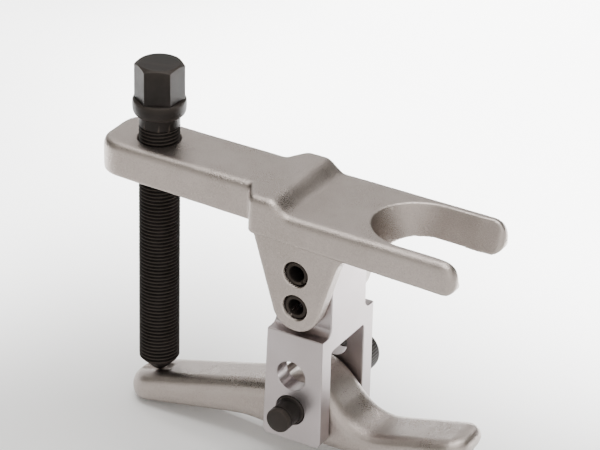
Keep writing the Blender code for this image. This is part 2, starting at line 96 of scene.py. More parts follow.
# Fork slot: (root x, centre x, half-width) on top and below. Smoothing opens the lower rim, so it is
# cut further forward and narrower than it ends up
SLOT_TOP = (94.8 * MM, 115.0 * MM, 17.8 * MM)
SLOT_BOTTOM = (102.2 * MM, 114.5 * MM, 13.6 * MM)
SLOT_FLARE_X = 129.0 * MM
SLOT_FLARE = 1.0 * MM
TINE_CORNER = 3.2 * MM

# Yoke
YOKE_X = 72.7 * MM
YOKE_LENGTH = 24.0 * MM
YOKE_LEAN = 1.3 * MM
YOKE_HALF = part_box("yoke")[1].y
YOKE_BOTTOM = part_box("yoke")[0].z - DATUM
YOKE_SHOULDER = -54.7 * MM
YOKE_SLOT_HALF = 12.3 * MM
YOKE_SLOT_TOP = -61.8 * MM
YOKE_CORNER = 2.7 * MM
YOKE_FILLET = 3.0 * MM
YOKE_EDGE = 0.55 * MM
TONGUE_HALF = 13.0 * MM
TONGUE_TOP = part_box("yoke")[1].z - DATUM
PIVOT_X = 71.5 * MM
PIVOT_HEIGHTS = {"upper": -72.9 * MM, "lower": -87.8 * MM}
BORE_RADIUS = 6.1 * MM

# Lugs and the two spring pins through them
LUG_INNER = 13.3 * MM
LUG_OUTER = 20.2 * MM
LUG_RADIUS = 10.0 * MM
LUG_FLARE = 0.31
LUG_ROOT = -12.0 * MM
LUG_FILLET = 6.5 * MM
SPRING_PIN_RADIUS = 5.0 * MM
SPRING_PIN_BORE = 3.3 * MM
SPRING_PIN_GAP = 1.4 * MM
SPRING_PIN_INSET = 0.7 * MM
SPRING_PIN_CHAMFER = (0.6 * MM, 1.1 * MM)  # in from the side and from the end
SPRING_PIN_TURNS = {"upper_spring_pin": -0.9, "lower_spring_pin": -2.2}  # where each slot faces, in radians
SPRING_PIN_HOLE = 5.2 * MM

# Spindle
PITCH = 1.5 * MM
THREAD_RADIUS = 8.0 * MM
THREAD_ROOT = 7.08 * MM
THREAD_CREST_SHARE = 0.13
THREAD_ROOT_SHARE = 0.20
THREAD_TOP = 6.0 * MM
NOSE_RADIUS = 2.9 * MM
NOSE_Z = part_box("forcing_spindle")[0].z - DATUM
CONE_TOP = -95.6 * MM
CONE_SLOPE = (THREAD_RADIUS - NOSE_RADIUS) / (CONE_TOP - NOSE_Z)
NECK_RADIUS = 7.9 * MM
COLLAR_RADIUS = 10.4 * MM
COLLAR_BOTTOM = 10.2 * MM
COLLAR_TOP = 16.9 * MM
COLLAR_CURVE = [(9.2, 10.5), (9.8, 11.1), (10.15, 11.9), (10.35, 12.9)]  # (radius, height) in millimetres
HEX_FLATS = 17.0 * MM
HEX_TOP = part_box("forcing_spindle")[1].z - DATUM
HEX_TURN = math.radians(-3.6)
HEX_CHAMFER_RADIUS = 8.0 * MM
HEX_CHAMFER_DROP = 1.1 * MM
HEX_CORNER = 0.5 * MM
SPINDLE_HOLE = 8.1 * MM
COUNTERSINK = 0.7 * MM
BALL_RADIUS = 2.5 * MM
BALL_Z = -100.0 * MM
BALL_SOCKET = 2.7 * MM

# Pivot pin
PIN_RADIUS = 5.9 * MM
PIN_KNOB_RADIUS = 8.7 * MM
PIN_KNOB_Y = (20.0 * MM, 36.0 * MM)
PIN_SHOULDER_Y = -19.9 * MM
PIN_TAIL_RADIUS = 4.95 * MM
PIN_TAIL_Y = -29.2 * MM
PIN_GROOVE_Y = -26.8 * MM
KNURL_RIDGES = 44
KNURL_DEPTH = 0.11 * MM
DETENT_Y = -22.1 * MM
DETENT_RADIUS = 2.0 * MM
DETENT_DROP = 4.5 * MM
DETENT_POCKET = 2.15 * MM
DETENT_POCKET_TOP = 3.3 * MM
WIRE_RADIUS = 0.25 * MM
COIL_RADIUS = 1.35 * MM
COIL_TURNS = 5
COIL_GAP = 0.2 * MM
COIL_TOP = PIVOT_HEIGHTS["lower"] + DETENT_POCKET_TOP - COIL_GAP
COIL_BOTTOM = PIVOT_HEIGHTS["lower"] - DETENT_DROP + DETENT_RADIUS + COIL_GAP

# Lever
LEVER_REAR_RADIUS = 10.4 * MM
LEVER_HALF = 11.7 * MM
LEVER_TIP_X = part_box("lever")[1].x
LEVER_TIP_CORNER = 8.5 * MM
LEVER_EDGE = 4.6 * MM
LEVER_WIDENS_X = (44.0 * MM, 58.0 * MM)
LEVER_VOXEL = 0.5 * MM
LEVER_PASSES = 8
LEVER_LAST_PASSES = 4

# The lever from the side: (x, height) in millimetres. LEVER_STRAIGHT lists the straight stretches on top
LEVER_TOP = [(-12.0, -104.9), (52.0, -86.9), (60.0, -83.2), (66.0, -78.6), (72.7, -76.8)]
LEVER_TOP += [(79.0, -79.6), (84.0, -84.0), (89.0, -89.4), (94.5, -93.1), (101.0, -94.4)]
LEVER_TOP += [(108.0, -93.2), (114.0, -91.6), (134.0, -86.6), (146.0, -84.6)]
LEVER_BOTTOM = [(146.0, -93.2), (134.0, -95.6), (118.0, -100.4), (104.0, -104.2), (90.0, -105.9)]
LEVER_BOTTOM += [(72.0, -105.6), (54.0, -105.0), (43.0, -105.5), (26.0, -108.7), (-14.0, -116.6)]
LEVER_STRAIGHT = (0, 11, 12)
TROUGH_RADIUS = 4.8 * MM
TROUGH_FLOOR = -102.8 * MM
TROUGH_ENDS = (-5.0 * MM, 4.0 * MM)

# Camera, which looks along its azimuth and down by its elevation
CAMERA_AT = Vector((0.57334, -0.88648, 0.50441))
CAMERA_AZIMUTH = math.radians(29.95)
CAMERA_ELEVATION = math.radians(28.5)
CAMERA_ROLL = math.radians(1.43)
CAMERA_LENS = 186.6  # millimetres, on a 36 mm sensor

# Studio: the world's levels run from the front right and a little below, at 0, along WORLD_AXIS to the
# back left, at 1, with a dark band in between
WORLD_AXIS = (-0.61, 0.77, 0.20)
WORLD_LEVELS = [
    (0.0, (2.10, 2.06, 2.00)),
    (0.16, (1.50, 1.47, 1.42)),
    (0.37, (0.62, 0.61, 0.59)),
    (0.53, (0.42, 0.41, 0.36)),
    (0.64, (0.11, 0.11, 0.10)),
    (0.72, (0.08, 0.08, 0.075)),
    (0.82, (0.12, 0.115, 0.11)),
    (0.91, (0.78, 0.77, 0.75)),
    (0.975, (0.92, 0.90, 0.88)),
    (1.0, (1.35, 1.33, 1.30)),
]
WORLD_OVERHEAD = (1.20, 1.17, 1.08)  # straight up, blended in between these sines of the elevation
OVERHEAD_FROM, OVERHEAD_TO = 0.76, 0.94

# Lamps: a large soft one above the object, and two spots that light only the floor behind and beside it
SOFTBOX_PLACE, SOFTBOX_AIM = (0.05, 0.05, 1.0), (0.05, 0.05, 0.0)
SOFTBOX_SIDE = 1.0
SOFTBOX_POWER = 12.5
WASH_RADIUS = 0.06
WASH_BLEND = 0.6
WASHES = [  # name, place, the spot's middle on the floor, cone in degrees, power in watts
    ("back_wash", (0.14, 1.0, 1.5), (0.14, 0.503), 29, 1050),
    ("left_wash", (-1.0, 0.12, 1.5), (-0.31, 0.12), 16.5, 560),
]
FLOOR_HALF = 3.0


# Meshes


def add_object(name, mesh):
    made = bpy.data.objects.new(name, mesh)
    bpy.context.scene.collection.objects.link(made)
    return made


def from_shape(name, shape):
    """A mesh object from a bmesh, with outward normals."""
    bmesh.ops.remove_doubles(shape, verts=shape.verts, dist=1e-7)
    bmesh.ops.recalc_face_normals(shape, faces=shape.faces)
    mesh = bpy.data.meshes.new(name)
    shape.to_mesh(mesh)
    shape.free()
    return add_object(name, mesh)


def loft(name, rings):
    """Skins closed rings of equal length, and caps the first and the last."""
    shape = bmesh.new()
    rows = [[shape.verts.new(point) for point in ring] for ring in rings]
    for low, high in zip(rows, rows[1:]):
        for i in range(len(low)):
            j = (i + 1) % len(low)
            shape.faces.new((low[i], low[j], high[j], high[i]))
    shape.faces.new(reversed(rows[0]))
    shape.faces.new(rows[-1])
    return from_shape(name, shape)


def prism(name, outline, low, high, normal):
    """An outline extruded along the X, Y or Z axis from low to high."""
    place = {
        "X": lambda u, v, w: (w, u, v),
        "Y": lambda u, v, w: (u, w, v),
        "Z": lambda u, v, w: (u, v, w),
    }[normal]
    return loft(name, [[place(u, v, w) for u, v in outline] for w in (low, high)])


def turned(name, profile, normal="Z", sides=96, ripple=None):
    """A body of revolution about Z or Y from (radius, height) points.

    ripple(angle, height) gives a length to add to the radius.
    """
    shape = bmesh.new()
    rows = []
    for radius, height in profile:
        row = []
        for i in range(sides if radius > 0 else 1):
            angle = math.tau * i / sides
            here = radius + (ripple(angle, height) if ripple and radius > 0 else 0)
            x, y = here * math.cos(angle), here * math.sin(angle)
            row.append(shape.verts.new((x, y, height) if normal == "Z" else (x, height, y)))
        rows.append(row)
    for low, high in zip(rows, rows[1:]):
        for i in range(sides):
            j = (i + 1) % sides
            corners = [low[i % len(low)], low[j % len(low)], high[j % len(high)], high[i % len(high)]]
            shape.faces.new(list(dict.fromkeys(corners)))
    for row in (rows[0], rows[-1]):
        if len(row) > 1:
            shape.faces.new(row)
    return from_shape(name, shape)


def rounded(corners, steps=10):
    """A polygon from (u, v, radius) corners, each replaced by an arc of that radius."""
    points = []
    for i, (u, v, radius) in enumerate(corners):
        here = Vector((u, v))
        if radius == 0:
            points.append(tuple(here))
            continue
        back = (Vector(corners[i - 1][:2]) - here).normalized()
        ahead = (Vector(corners[(i + 1) % len(corners)][:2]) - here).normalized()
        half = math.acos(max(-1.0, min(1.0, back.dot(ahead)))) / 2
        centre = here + (back + ahead).normalized() * radius / math.sin(half)
        start = here + back * radius / math.tan(half) - centre
        sweep = math.copysign(math.pi - 2 * half, ahead.x * back.y - ahead.y * back.x)
        for step in range(steps + 1):
            points.append(tuple(centre + Matrix.Rotation(sweep * step / steps, 2) @ start))
    return points


def flowing(points, straight=(), steps=8):
    """A Catmull-Rom curve through points, straight where asked."""
    places = [Vector(point) for point in points]
    curve = [tuple(places[0])]
    for i in range(len(places) - 1):
        a, b = places[i], places[i + 1]
        if i in straight:
            curve.append(tuple(b))
            continue
        before = places[i - 1] if i > 0 else a
        after = places[i + 2] if i + 2 < len(places) else b
        for step in range(1, steps + 1):
            t = step / steps
            tangent_a, tangent_b = (b - before) / 2, (after - a) / 2
            point = a * (2 * t**3 - 3 * t**2 + 1) + b * (3 * t**2 - 2 * t**3)
            point += tangent_a * (t**3 - 2 * t**2 + t) + tangent_b * (t**3 - t**2)
            curve.append(tuple(point))
    return curve


def settle(obj):
    """Applies an object's modifiers to its mesh."""
    graph = bpy.context.evaluated_depsgraph_get()
    mesh = bpy.data.meshes.new_from_object(obj.evaluated_get(graph), depsgraph=graph)
    obj.modifiers.clear()
    old, obj.data = obj.data, mesh
    bpy.data.meshes.remove(old)
    return obj


def carve(target, tool, operation="DIFFERENCE", solver="MANIFOLD"):
    """Cuts a tool from target, joins it or keeps what both share, and removes the tool."""
    modifier = target.modifiers.new("carve", "BOOLEAN")
    modifier.operation = operation
    modifier.object = tool
    modifier.solver = solver
    settle(target)
    mesh = tool.data
    bpy.data.objects.remove(tool)
    bpy.data.meshes.remove(mesh)
    return target


def weld(target, others):
    """Puts other objects' meshes into target's, as they are."""
    shape = bmesh.new()
    shape.from_mesh(target.data)
    for other in others:
        shape.from_mesh(other.data)
        mesh = other.data
        bpy.data.objects.remove(other)
        bpy.data.meshes.remove(mesh)
    shape.to_mesh(target.data)
    shape.free()
    return target


def bevelled(obj, width, segments, angle):
    """Rounds every edge that is sharper than the angle, in degrees."""
    modifier = obj.modifiers.new("edges", "BEVEL")
    modifier.width = width
    modifier.segments = segments
    modifier.limit_method = "ANGLE"
    modifier.angle_limit = math.radians(angle)
    modifier.use_clamp_overlap = False
    return settle(obj)


def forged(obj, voxel, passes):
    """Remeshes a solid and smooths it, so that its edges run soft, and leaves it slightly uneven."""
    remesh = obj.modifiers.new("skin", "REMESH")
    remesh.mode = "VOXEL"
    remesh.voxel_size = voxel
    smooth = obj.modifiers.new("soft", "SMOOTH")
    smooth.factor = 0.5
    smooth.iterations = passes
    settle(obj)
    places = []
    for vertex in obj.data.vertices:
        broad = noise.noise(vertex.co / (9 * MM))
        fine = noise.noise(vertex.co / (2.2 * MM))
        places.extend(vertex.co + vertex.normal * (0.05 * MM * broad + 0.012 * MM * fine))
    obj.data.vertices.foreach_set("co", places)
    obj.data.update()
    return obj


def cross_drill(radius, x, height, reach, chamfer=0.0, face=0.0):
    """A drill along Y at (x, height), which opens by the chamfer at the faces Y = +-face."""
    profile = [(radius, -reach), (radius, reach)]
    if chamfer:
        wide = radius + chamfer + (reach - face)
        profile = [(wide, -reach), (radius, -face + chamfer), (radius, face - chamfer), (wide, reach)]
    drill = turned("drill", profile, "Y")
    drill.data.transform(Matrix.Translation((x, 0, height)))
    return drill


def shaded(obj, angle, weigh=False):
    """Smooth shading, sharp over that angle. weigh keeps large flat faces flat up to their rounded edges."""
    obj.data.shade_smooth()
    obj.data.set_sharp_from_angle(angle=math.radians(angle))
    if weigh:
        modifier = obj.modifiers.new("flats", "WEIGHTED_NORMAL")
        modifier.mode = "FACE_AREA"
        modifier.keep_sharp = True
        settle(obj)
    return obj


def underside(x):
    """The height of the arm's sloping lower face."""
    return ARM_BOTTOM_REAR + ARM_BOTTOM_SLOPE * x


def arm_top(x):
    """The arm's top face: the datum plane at the rear, then a smooth step down to the fork."""
    start, end = STEP_X
    t = min(1.0, max(0.0, (x - start) / (end - start)))
    return FORK_TOP * (1 - math.cos(math.pi * t)) / 2


def between(x, line):
    """The y of a polyline of (x, y) points at x."""
    for (x0, y0), (x1, y1) in zip(line, line[1:]):
        if x <= x1:
            return y0 + (y1 - y0) * max(0.0, x - x0) / (x1 - x0)
    return line[-1][1]


def round_over(depth, radius):
    """How far a rounded edge lies below its face, at this depth in from the end."""
    left = max(0.0, radius - depth)
    return radius - math.sqrt(radius**2 - left**2)


def arm_section(x, half):
    """The arm's cross-section at x: a rectangle with rounded corners, lower near both ends."""
    rear = round_over(x - ARM_REAR_X, ARM_REAR_EDGE)
    tip = max(0.0, ARM_TIP_X - x)
    high = arm_top(x) - rear - round_over(tip, TINE_TOP_ROUND)
    low = underside(x) + rear + round_over(tip, TINE_BOTTOM_ROUND)
    limit = 0.45 * (high - low)
    top, bottom = min(ARM_EDGE, limit), min(ARM_BOTTOM_EDGE, limit)
    corners = [(half, low, bottom), (half, high, top), (-half, high, top), (-half, low, bottom)]
    return [(x, y, z) for y, z in rounded(corners, 6)]


def arm_stations():
    """(x, half-width) along the arm."""
    corners = [
        (ARM_REAR_X + ARM_REAR_ROUND, ARM_HALF, 0),
        (FLARE_X[0], ARM_HALF, 1.5 * MM),
        (FLARE_X[1], FORK_HALF, 3 * MM),
        (ARM_TIP_X, FORK_HALF, 3.5 * MM),
        (ARM_TIP_X, 0, 0),
    ]
    side = []
    for step in range(1, 24):
        angle = math.pi / 2 * step / 24
        x = ARM_REAR_X + ARM_REAR_ROUND * (1 - math.cos(angle) ** 0.85)
        side.append((x, ARM_HALF * math.sin(angle) ** 0.85))
    side += rounded(corners, 16)[:-1]
    steps = 24
    places = [x for x, _ in side]
    places += [STEP_X[0] + (STEP_X[1] - STEP_X[0]) * i / steps for i in range(steps + 1)]
    for i in range(1, 13):
        depth = (i / 12) ** 2
        places += [ARM_REAR_X + ARM_REAR_EDGE * depth, ARM_TIP_X - TINE_TOP_ROUND * depth]
    kept = []
    for x in sorted(places):
        if not kept or x - kept[-1] > 0.03 * MM:
            kept.append(x)
    return [(x, between(x, side)) for x in kept]


def slot_outline(root_x, centre_x, half):
    """Half an ellipse round the root, nearly straight sides, and a flared mouth with rounded corners."""
    flare = SLOT_FLARE / (ARM_TIP_X - SLOT_FLARE_X)
    start = ARM_TIP_X - TINE_CORNER
    mouth = half + flare * (start - SLOT_FLARE_X)
    side = [(SLOT_FLARE_X, half)]
    for step in range(9):
        angle = math.pi / 2 * step / 8
        side.append((start + TINE_CORNER * math.sin(angle), mouth + TINE_CORNER * (1 - math.cos(angle))))
    side.append((ARM_TIP_X + 8 * MM, mouth + 3 * TINE_CORNER))
    steps = 64
    root = []
    for step in range(steps + 1):
        angle = math.pi / 2 + math.pi * step / steps
        root.append((centre_x + (centre_x - root_x) * math.cos(angle), half * math.sin(angle)))
    return root + [(x, -y) for x, y in side] + list(reversed(side))


def lug_outline(centre_z):
    """A V with a round end, whose sides are tangent to the circle about the lower spring pin.

    A fillet runs from its front side into the arm's lower face.
    """
    lean = math.atan(LUG_FLARE)
    steps = 48
    arc = []
    for step in range(steps + 1):
        angle = math.pi + lean + (math.pi - 2 * lean) * step / steps
        arc.append((YOKE_X + LUG_RADIUS * math.cos(angle), centre_z + LUG_RADIUS * math.sin(angle)))
    (left, low), (right, _) = arc[0], arc[-1]
    rise = LUG_ROOT - low
    under = underside(YOKE_X + LUG_RADIUS)
    start = Vector((right + (under - LUG_FILLET - low) * LUG_FLARE, under - LUG_FILLET))
    corner = Vector((right + (under - low) * LUG_FLARE, under))
    end = Vector((corner.x + LUG_FILLET, under + 0.3 * MM))
    fillet = [tuple(start.lerp(corner, t / 12).lerp(corner.lerp(end, t / 12), t / 12)) for t in range(13)]
    return [(left - rise * LUG_FLARE, LUG_ROOT), *arc, *fillet, (end.x, LUG_ROOT)]


def pin_height(node):
    """The height above the datum of the middle of a CAD pin."""
    low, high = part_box(node)
    return (low.z + high.z) / 2 - DATUM


def make_arm():
    arm = loft("fork_arm_forging", [arm_section(x, half) for x, half in arm_stations()])
    top, bottom = slot_outline(*SLOT_TOP), slot_outline(*SLOT_BOTTOM)
    rings = [[(x, y, underside(ARM_TIP_X)) for x, y in bottom], [(x, y, FORK_TOP) for x, y in top]]
    beyond = 0.4
    below = [Vector(b) + (Vector(b) - Vector(t)) * beyond for b, t in zip(*rings)]
    above = [Vector(t) + (Vector(t) - Vector(b)) * beyond for b, t in zip(*rings)]
    carve(arm, loft("slot", [below, above]))
    outline = lug_outline(pin_height("lower_spring_pin"))
    sides = ((-LUG_OUTER, -LUG_INNER), (LUG_INNER, LUG_OUTER))
    weld(arm, [prism("lug", outline, low, high, "Y") for low, high in sides])
    forged(arm, ARM_VOXEL, ARM_PASSES)
    for node in SPRING_PIN_TURNS:
        carve(arm, cross_drill(SPRING_PIN_HOLE, YOKE_X, pin_height(node), 24 * MM, 0.35 * MM, LUG_OUTER))
    flare = SPINDLE_HOLE + COUNTERSINK
    over = 2 * MM
    profile = [(flare + over, underside(0) - over), (SPINDLE_HOLE, underside(0) + COUNTERSINK)]
    profile += [(SPINDLE_HOLE, -COUNTERSINK), (flare + over, over)]
    carve(arm, turned("spindle_drill", profile))
    return shaded(arm, 50)


def make_yoke():
    section = [
        (TONGUE_HALF, TONGUE_TOP, 0),
        (TONGUE_HALF, YOKE_SHOULDER, YOKE_FILLET),
        (YOKE_HALF, YOKE_SHOULDER, 0),
        (YOKE_HALF, YOKE_BOTTOM, 0),
        (YOKE_SLOT_HALF, YOKE_BOTTOM, 0),
        (YOKE_SLOT_HALF, YOKE_SLOT_TOP, 1.5 * MM),
    ]
    outline = rounded(section + [(-y, z, r) for y, z, r in reversed(section)], 8)
    rear, front = YOKE_X - YOKE_LENGTH / 2, YOKE_X + YOKE_LENGTH / 2
    yoke = prism("yoke_block", outline, rear - YOKE_LEAN, front, "X")
    face = [
        (rear, TONGUE_TOP + MM, 0),
        (rear, YOKE_SHOULDER, 0),
        (rear - YOKE_LEAN, YOKE_BOTTOM, YOKE_CORNER),
        (front, YOKE_BOTTOM, YOKE_CORNER),
        (front, YOKE_SHOULDER, 0),
        (front + MM, YOKE_SHOULDER, 0),
        (front + MM, TONGUE_TOP + MM, 0),
    ]
    carve(yoke, prism("face", rounded(face, 8), -30 * MM, 30 * MM, "Y"), "INTERSECT", "EXACT")
    bevelled(yoke, YOKE_EDGE, 3, 50)
    for node in SPRING_PIN_TURNS:
        carve(yoke, cross_drill(SPRING_PIN_HOLE, YOKE_X, pin_height(node), 30 * MM), solver="EXACT")
    for height in PIVOT_HEIGHTS.values():
        drill = cross_drill(BORE_RADIUS, PIVOT_X, height, 24 * MM, 0.25 * MM, YOKE_HALF)
        carve(yoke, drill, solver="EXACT")
    return shaded(yoke, 32, weigh=True)


def make_spring_pin(node):
    """A slotted tube, along Y, with its ends chamfered."""
    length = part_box(node)[1].y - SPRING_PIN_INSET
    half_gap = SPRING_PIN_GAP / 2
    chamfer, depth = SPRING_PIN_CHAMFER
    steps = 90
    rings = []
    stations = [(-length, chamfer), (-length + depth, 0), (length - depth, 0), (length, chamfer)]
    for y, drop in stations:
        ring = []
        for radius, way in ((SPRING_PIN_RADIUS - drop, 1), (SPRING_PIN_BORE, -1)):
            open_half = math.asin(half_gap / radius)
            arc = []
            for step in range(steps + 1):
                angle = SPRING_PIN_TURNS[node] + open_half + (math.tau - 2 * open_half) * step / steps
                x, z = radius * math.cos(angle), radius * math.sin(angle)
                arc.append((YOKE_X + x, y, pin_height(node) + z))
            ring += arc[::way]
        rings.append(ring)
    return shaded(loft(node + "_roll", rings), 30)


def thread_radius(place):
    """The thread's radius at a place along its pitch, from 0 to 1, with a flat crest and a flat root."""
    away = abs(place % 1.0 - 0.5) * 2
    crest, root = THREAD_CREST_SHARE, 1 - THREAD_ROOT_SHARE
    if away <= crest:
        return THREAD_RADIUS
    if away >= root:
        return THREAD_ROOT
    share = (away - crest) / (root - crest)
    return THREAD_RADIUS + (THREAD_ROOT - THREAD_RADIUS) * share


def make_screw():
    """The spindle's thread, whose mesh rows follow the helix, cut off square above and by the cone below."""
    sides, rows = 72, 10
    low, high = CONE_TOP - 1.6 * MM, THREAD_TOP + MM
    shape = bmesh.new()
    count = int((high - low) / PITCH + 2) * rows
    grid = []
    for k in range(count + 1):
        row = []
        for i in range(sides + 1):
            turn = i / sides
            z = min(high, max(low, low - PITCH + PITCH * k / rows + PITCH * turn))
            radius = thread_radius(z / PITCH - turn)
            cone, top = (z - CONE_TOP) * CONE_SLOPE, THREAD_TOP - z
            radius = min(radius, THREAD_RADIUS + cone, THREAD_RADIUS + top)
            angle = math.tau * turn
            row.append(shape.verts.new((radius * math.cos(angle), radius * math.sin(angle), z)))
        grid.append(row)
    for below, above in zip(grid, grid[1:]):
        for i in range(sides):
            shape.faces.new((below[i], below[i + 1], above[i + 1], above[i]))
    bmesh.ops.remove_doubles(shape, verts=shape.verts, dist=1e-6)
    open_edges = [edge for edge in shape.edges if edge.is_boundary]
    bmesh.ops.holes_fill(shape, edges=open_edges, sides=0)
    return from_shape("forcing_screw", shape)


def make_spindle():
    """The screw, with its cone and ball socket below, and its neck, collar and chamfered hex above."""
    spindle = make_screw()
    nose_top = CONE_TOP - 1.2 * MM
    nose = [
        (NOSE_RADIUS - 0.25 * MM, NOSE_Z),
        (NOSE_RADIUS, NOSE_Z + 0.25 * MM),
        (THREAD_RADIUS + (nose_top - 0.02 * MM - CONE_TOP) * CONE_SLOPE, nose_top),
        (THREAD_ROOT - 2 * MM, nose_top + 2 * MM),
    ]
    carve(spindle, turned("nose", nose), "UNION")
    head = [
        (NECK_RADIUS - MM, THREAD_TOP - MM),
        (NECK_RADIUS, THREAD_TOP),
        (NECK_RADIUS, COLLAR_BOTTOM - 0.8 * MM),
        (THREAD_RADIUS + 0.3 * MM, COLLAR_BOTTOM),
    ]
    head += [(radius * MM, height * MM) for radius, height in COLLAR_CURVE]
    head += [(COLLAR_RADIUS, COLLAR_BOTTOM + 4 * MM), (COLLAR_RADIUS, COLLAR_TOP - 0.9 * MM)]
    head += [(COLLAR_RADIUS - 0.25 * MM, COLLAR_TOP - 0.3 * MM), (COLLAR_RADIUS - 0.8 * MM, COLLAR_TOP)]
    carve(spindle, turned("collar", head), "UNION")
    corner = HEX_FLATS / math.sqrt(3)
    turns = [HEX_TURN + math.pi / 6 + math.pi / 3 * i for i in range(6)]
    outline = rounded([(corner * math.cos(turn), corner * math.sin(turn), HEX_CORNER) for turn in turns], 4)
    hexagon = prism("hexagon", outline, COLLAR_TOP - 3 * MM, HEX_TOP, "Z")
    chamfer = (corner - HEX_CHAMFER_RADIUS) / HEX_CHAMFER_DROP
    far = 3 * MM
    cone = [(corner + far * chamfer, -10 * MM), (corner + far * chamfer, HEX_TOP - HEX_CHAMFER_DROP - far)]
    cone += [(HEX_CHAMFER_RADIUS, HEX_TOP - 0.05 * MM), (HEX_CHAMFER_RADIUS - 0.3 * MM, HEX_TOP)]
    carve(hexagon, turned("hex_chamfer", cone, sides=144), "INTERSECT", "EXACT")
    carve(spindle, hexagon, "UNION")
    socket = turned("socket", sphere_profile(BALL_SOCKET, 24))
    socket.data.transform(Matrix.Translation((0, 0, BALL_Z)))
    carve(spindle, socket)
    return shaded(spindle, 28, weigh=True)


def sphere_profile(radius, steps):
    """Half a circle, from pole to pole."""
    angles = [math.pi * (step / steps - 0.5) for step in range(steps + 1)]
    profile = [(radius * math.cos(angle), radius * math.sin(angle)) for angle in angles]
    return [(0, -radius), *profile[1:-1], (0, radius)]


def make_ball(name, radius, place):
    """A ground ball at a place."""
    made = turned(name, sphere_profile(radius, 32), sides=64)
    made.data.transform(Matrix.Translation(place))
    return shaded(made, 60)


def make_pivot_pin():
    """The pin along Y: a grooved tail in front, a shoulder, and a knurled and crowned knob behind."""
    pivot = PIVOT_HEIGHTS["lower"]
    groove = PIN_TAIL_RADIUS - 0.35 * MM
    profile = [
        (PIN_TAIL_RADIUS - 0.8 * MM, PIN_TAIL_Y),
        (PIN_TAIL_RADIUS - 0.25 * MM, PIN_TAIL_Y + 0.25 * MM),
        (PIN_TAIL_RADIUS, PIN_TAIL_Y + 0.8 * MM),
        (PIN_TAIL_RADIUS, PIN_GROOVE_Y - 0.45 * MM),
        (groove, PIN_GROOVE_Y - 0.2 * MM),
        (groove, PIN_GROOVE_Y + 0.2 * MM),
        (PIN_TAIL_RADIUS, PIN_GROOVE_Y + 0.45 * MM),
        (PIN_TAIL_RADIUS, PIN_SHOULDER_Y - 0.3 * MM),
        (PIN_TAIL_RADIUS + 0.3 * MM, PIN_SHOULDER_Y),
        (PIN_RADIUS - 0.4 * MM, PIN_SHOULDER_Y),
        (PIN_RADIUS, PIN_SHOULDER_Y + 0.4 * MM),
        (PIN_RADIUS, PIN_KNOB_Y[0]),
        (PIN_KNOB_RADIUS - 0.8 * MM, PIN_KNOB_Y[0]),
        (PIN_KNOB_RADIUS - 0.2 * MM, PIN_KNOB_Y[0] + 0.6 * MM),
    ]
    knurl = (PIN_KNOB_Y[0] + 1.0 * MM, PIN_KNOB_Y[1] - 2.6 * MM)
    profile += [(PIN_KNOB_RADIUS - 0.2 * MM, knurl[0]), (PIN_KNOB_RADIUS - 0.2 * MM, knurl[1])]
    crown = 2.2 * MM
    for step in range(13):
        angle = math.pi / 2 * step / 12
        radius = PIN_KNOB_RADIUS - 0.2 * MM - crown + crown * math.cos(angle)
        profile.append((radius, PIN_KNOB_Y[1] - crown + crown * math.sin(angle)))

    def ripple(angle, height):
        if knurl[0] - 0.1 * MM <= height <= knurl[1] + 0.1 * MM:
            return KNURL_DEPTH * math.cos(KNURL_RIDGES * angle)
        return 0.0

    pin = turned("pivot_pin_body", profile, "Y", sides=KNURL_RIDGES * 6, ripple=ripple)
    pin.data.transform(Matrix.Translation((PIVOT_X, 0, pivot)))
    pocket = turned("pocket", [(DETENT_POCKET, -9 * MM), (DETENT_POCKET, DETENT_POCKET_TOP)], sides=48)
    pocket.data.transform(Matrix.Translation((PIVOT_X, DETENT_Y, pivot)))
    carve(pin, pocket)
    return shaded(pin, 30)


def make_spring():
    """The detent spring: a coil between the ball and the top of its pocket."""
    low, high = COIL_BOTTOM + WIRE_RADIUS, COIL_TOP - WIRE_RADIUS
    per_turn = 32
    count = COIL_TURNS * per_turn
    wire = bpy.data.curves.new("detent_coil", "CURVE")
    wire.dimensions = "3D"
    wire.bevel_depth = WIRE_RADIUS
    wire.bevel_resolution = 4
    wire.use_fill_caps = True
    line = wire.splines.new("POLY")
    line.points.add(count)
    for i, point in enumerate(line.points):
        angle = math.tau * i / per_turn
        rise = low + (high - low) * i / count
        x, y = COIL_RADIUS * math.cos(angle), COIL_RADIUS * math.sin(angle)
        point.co = (PIVOT_X + x, DETENT_Y + y, rise, 1)
    return settle_curve("detent_coil", wire)


def settle_curve(name, curve):
    """A mesh object made from a curve."""
    guide = add_object(name + "_guide", curve)
    graph = bpy.context.evaluated_depsgraph_get()
    mesh = bpy.data.meshes.new_from_object(guide.evaluated_get(graph), depsgraph=graph)
    bpy.data.objects.remove(guide)
    bpy.data.curves.remove(curve)
    return shaded(add_object(name, mesh), 60)


